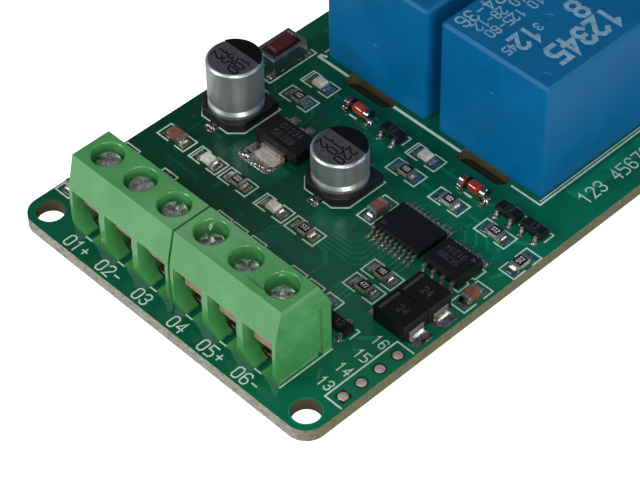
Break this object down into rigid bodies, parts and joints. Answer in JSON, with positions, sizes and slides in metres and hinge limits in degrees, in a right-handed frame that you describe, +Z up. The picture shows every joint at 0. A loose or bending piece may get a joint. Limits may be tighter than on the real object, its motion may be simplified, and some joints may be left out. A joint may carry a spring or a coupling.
{
  "type": "relay module board",
  "caption": "Flat circuit board with sealed relays, green screw terminals along its ends, surface-mounted control parts, a test button and corner holes for stand-offs.",
  "frame": {"origin": "middle of the four mounting holes, on the board's underside", "axes": "+Z up out of the parts' side, +Y from the input terminals towards the relays, +X along the terminals towards the header holes"},
  "size_m": [0.0438, 0.073, 0.0188],
  "materials": {
    "board": "glossy green lacquer over glass fibre",
    "terminal_plastic": "satin",
    "terminal_metal": "plated",
    "screw_steel": "zinc plated",
    "guard_metal": "plated",
    "relay_plastic": "satin blue",
    "relay_base_plastic": "matt",
    "tinned_metal": "tinned",
    "relay_iron": "nickel plated iron and copper winding",
    "can_aluminium": "bare can with a dark printed end",
    "dark_plastic": "matt",
    "shell_steel": "bright",
    "button_plastic": "satin red",
    "chip_plastic": "matt moulded",
    "diode_glass": "clear glass over orange, metal ends",
    "resistor_ceramic": "dark with tinned ends",
    "capacitor_ceramic": "tan with tinned ends",
    "lamp_plastic": "clear lens on a white base"
  },
  "bodies": {
    "board": {"circuit_board": "board", "input_housing_1": "terminal_plastic", "input_contacts_1": "terminal_metal", "input_housing_2": "terminal_plastic", "input_contacts_2": "terminal_metal", "output_housing_1": "terminal_plastic", "output_contacts_1": "terminal_metal", "output_housing_2": "terminal_plastic", "output_contacts_2": "terminal_metal", "relay_cover_1": "relay_plastic", "relay_base_1": "relay_base_plastic", "relay_leads_1": "tinned_metal", "capacitor_can_1": "can_aluminium", "capacitor_base_1": "dark_plastic", "relay_cover_2": "relay_plastic", "relay_base_2": "relay_base_plastic", "relay_leads_2": "tinned_metal", "capacitor_can_2": "can_aluminium", "capacitor_base_2": "dark_plastic", "relay_works": "relay_iron", "capacitor_leads": "tinned_metal", "switch_base": "dark_plastic", "switch_shell": "shell_steel", "switch_feet": "tinned_metal", "controller_chip": "chip_plastic", "bus_chip": "chip_plastic", "regulator": "chip_plastic", "transistors": "chip_plastic", "formed_leads": "tinned_metal", "surge_diodes": "chip_plastic", "surge_diode_strips": "tinned_metal", "relay_diodes": "diode_glass", "resistors": "resistor_ceramic", "ceramic_capacitors": "capacitor_ceramic", "status_lamps": "lamp_plastic"},
    "input_clamp_1": {"input_guard_1": "guard_metal"},
    "input_clamp_screw_1": {"input_screw_1": "screw_steel"},
    "input_clamp_2": {"input_guard_2": "guard_metal"},
    "input_clamp_screw_2": {"input_screw_2": "screw_steel"},
    "input_clamp_3": {"input_guard_3": "guard_metal"},
    "input_clamp_screw_3": {"input_screw_3": "screw_steel"},
    "input_clamp_4": {"input_guard_4": "guard_metal"},
    "input_clamp_screw_4": {"input_screw_4": "screw_steel"},
    "input_clamp_5": {"input_guard_5": "guard_metal"},
    "input_clamp_screw_5": {"input_screw_5": "screw_steel"},
    "input_clamp_6": {"input_guard_6": "guard_metal"},
    "input_clamp_screw_6": {"input_screw_6": "screw_steel"},
    "output_clamp_1": {"output_guard_1": "guard_metal"},
    "output_clamp_screw_1": {"output_screw_1": "screw_steel"},
    "output_clamp_2": {"output_guard_2": "guard_metal"},
    "output_clamp_screw_2": {"output_screw_2": "screw_steel"},
    "output_clamp_3": {"output_guard_3": "guard_metal"},
    "output_clamp_screw_3": {"output_screw_3": "screw_steel"},
    "output_clamp_4": {"output_guard_4": "guard_metal"},
    "output_clamp_screw_4": {"output_screw_4": "screw_steel"},
    "output_clamp_5": {"output_guard_5": "guard_metal"},
    "output_clamp_screw_5": {"output_screw_5": "screw_steel"},
    "output_clamp_6": {"output_guard_6": "guard_metal"},
    "output_clamp_screw_6": {"output_screw_6": "screw_steel"},
    "button": {"switch_button": "button_plastic"}
  },
  "joints": [
    {"name": "input_clamp_slide_1", "type": "slide", "parent": "board", "child": "input_clamp_1", "axis": [0, 0, -1], "range_m": [-0.0006, 0.0022]},
    {"name": "input_screw_turn_1", "type": "hinge", "parent": "input_clamp_1", "child": "input_clamp_screw_1", "pos_m": [-0.01298, -0.03055, 0.0112], "axis": [0, 0, -1], "range_deg": [-488, 1768]},
    {"name": "input_clamp_slide_2", "type": "slide", "parent": "board", "child": "input_clamp_2", "axis": [0, 0, -1], "range_m": [-0.0006, 0.0022]},
    {"name": "input_screw_turn_2", "type": "hinge", "parent": "input_clamp_2", "child": "input_clamp_screw_2", "pos_m": [-0.0079, -0.03055, 0.0112], "axis": [0, 0, -1], "range_deg": [-488, 1768]},
    {"name": "input_clamp_slide_3", "type": "slide", "parent": "board", "child": "input_clamp_3", "axis": [0, 0, -1], "range_m": [-0.0006, 0.0022]},
    {"name": "input_screw_turn_3", "type": "hinge", "parent": "input_clamp_3", "child": "input_clamp_screw_3", "pos_m": [-0.00282, -0.03055, 0.0112], "axis": [0, 0, -1], "range_deg": [-488, 1768]},
    {"name": "input_clamp_slide_4", "type": "slide", "parent": "board", "child": "input_clamp_4", "axis": [0, 0, -1], "range_m": [-0.0011, 0.0017]},
    {"name": "input_screw_turn_4", "type": "hinge", "parent": "input_clamp_4", "child": "input_clamp_screw_4", "pos_m": [0.00262, -0.03055, 0.0107], "axis": [0, 0, -1], "range_deg": [-888, 1368]},
    {"name": "input_clamp_slide_5", "type": "slide", "parent": "board", "child": "input_clamp_5", "axis": [0, 0, -1], "range_m": [-0.0011, 0.0017]},
    {"name": "input_screw_turn_5", "type": "hinge", "parent": "input_clamp_5", "child": "input_clamp_screw_5", "pos_m": [0.0077, -0.03055, 0.0107], "axis": [0, 0, -1], "range_deg": [-888, 1368]},
    {"name": "input_clamp_slide_6", "type": "slide", "parent": "board", "child": "input_clamp_6", "axis": [0, 0, -1], "range_m": [-0.0011, 0.0017]},
    {"name": "input_screw_turn_6", "type": "hinge", "parent": "input_clamp_6", "child": "input_clamp_screw_6", "pos_m": [0.01278, -0.03055, 0.0107], "axis": [0, 0, -1], "range_deg": [-888, 1368]},
    {"name": "output_clamp_slide_1", "type": "slide", "parent": "board", "child": "output_clamp_1", "axis": [0, 0, -1], "range_m": [-0.0007, 0.0021]},
    {"name": "output_screw_turn_1", "type": "hinge", "parent": "output_clamp_1", "child": "output_clamp_screw_1", "pos_m": [-0.01298, 0.03055, 0.0111], "axis": [0, 0, -1], "range_deg": [-568, 1688]},
    {"name": "output_clamp_slide_2", "type": "slide", "parent": "board", "child": "output_clamp_2", "axis": [0, 0, -1], "range_m": [-0.0007, 0.0021]},
    {"name": "output_screw_turn_2", "type": "hinge", "parent": "output_clamp_2", "child": "output_clamp_screw_2", "pos_m": [-0.0079, 0.03055, 0.0111], "axis": [0, 0, -1], "range_deg": [-568, 1688]},
    {"name": "output_clamp_slide_3", "type": "slide", "parent": "board", "child": "output_clamp_3", "axis": [0, 0, -1], "range_m": [-0.0007, 0.0021]},
    {"name": "output_screw_turn_3", "type": "hinge", "parent": "output_clamp_3", "child": "output_clamp_screw_3", "pos_m": [-0.00282, 0.03055, 0.0111], "axis": [0, 0, -1], "range_deg": [-568, 1688]},
    {"name": "output_clamp_slide_4", "type": "slide", "parent": "board", "child": "output_clamp_4", "axis": [0, 0, -1], "range_m": [-0.0007, 0.0021]},
    {"name": "output_screw_turn_4", "type": "hinge", "parent": "output_clamp_4", "child": "output_clamp_screw_4", "pos_m": [0.00262, 0.03055, 0.0111], "axis": [0, 0, -1], "range_deg": [-568, 1688]},
    {"name": "output_clamp_slide_5", "type": "slide", "parent": "board", "child": "output_clamp_5", "axis": [0, 0, -1], "range_m": [-0.0007, 0.0021]},
    {"name": "output_screw_turn_5", "type": "hinge", "parent": "output_clamp_5", "child": "output_clamp_screw_5", "pos_m": [0.0077, 0.03055, 0.0111], "axis": [0, 0, -1], "range_deg": [-568, 1688]},
    {"name": "output_clamp_slide_6", "type": "slide", "parent": "board", "child": "output_clamp_6", "axis": [0, 0, -1], "range_m": [-0.0007, 0.0021]},
    {"name": "output_screw_turn_6", "type": "hinge", "parent": "output_clamp_6", "child": "output_clamp_screw_6", "pos_m": [0.01278, 0.03055, 0.0111], "axis": [0, 0, -1], "range_deg": [-568, 1688]},
    {"name": "button_press", "type": "slide", "parent": "board", "child": "button", "axis": [0, 0, -1], "range_m": [0, 0.00025], "stiffness_N_per_m": 6400}
  ],
  "couplings": [
    {"joint": "input_screw_turn_1", "follows": "input_clamp_slide_1", "rad_per_m": 13963},
    {"joint": "input_screw_turn_2", "follows": "input_clamp_slide_2", "rad_per_m": 13963},
    {"joint": "input_screw_turn_3", "follows": "input_clamp_slide_3", "rad_per_m": 13963},
    {"joint": "input_screw_turn_4", "follows": "input_clamp_slide_4", "rad_per_m": 13963},
    {"joint": "input_screw_turn_5", "follows": "input_clamp_slide_5", "rad_per_m": 13963},
    {"joint": "input_screw_turn_6", "follows": "input_clamp_slide_6", "rad_per_m": 13963},
    {"joint": "output_screw_turn_1", "follows": "output_clamp_slide_1", "rad_per_m": 13963},
    {"joint": "output_screw_turn_2", "follows": "output_clamp_slide_2", "rad_per_m": 13963},
    {"joint": "output_screw_turn_3", "follows": "output_clamp_slide_3", "rad_per_m": 13963},
    {"joint": "output_screw_turn_4", "follows": "output_clamp_slide_4", "rad_per_m": 13963},
    {"joint": "output_screw_turn_5", "follows": "output_clamp_slide_5", "rad_per_m": 13963},
    {"joint": "output_screw_turn_6", "follows": "output_clamp_slide_6", "rad_per_m": 13963}
  ]
}
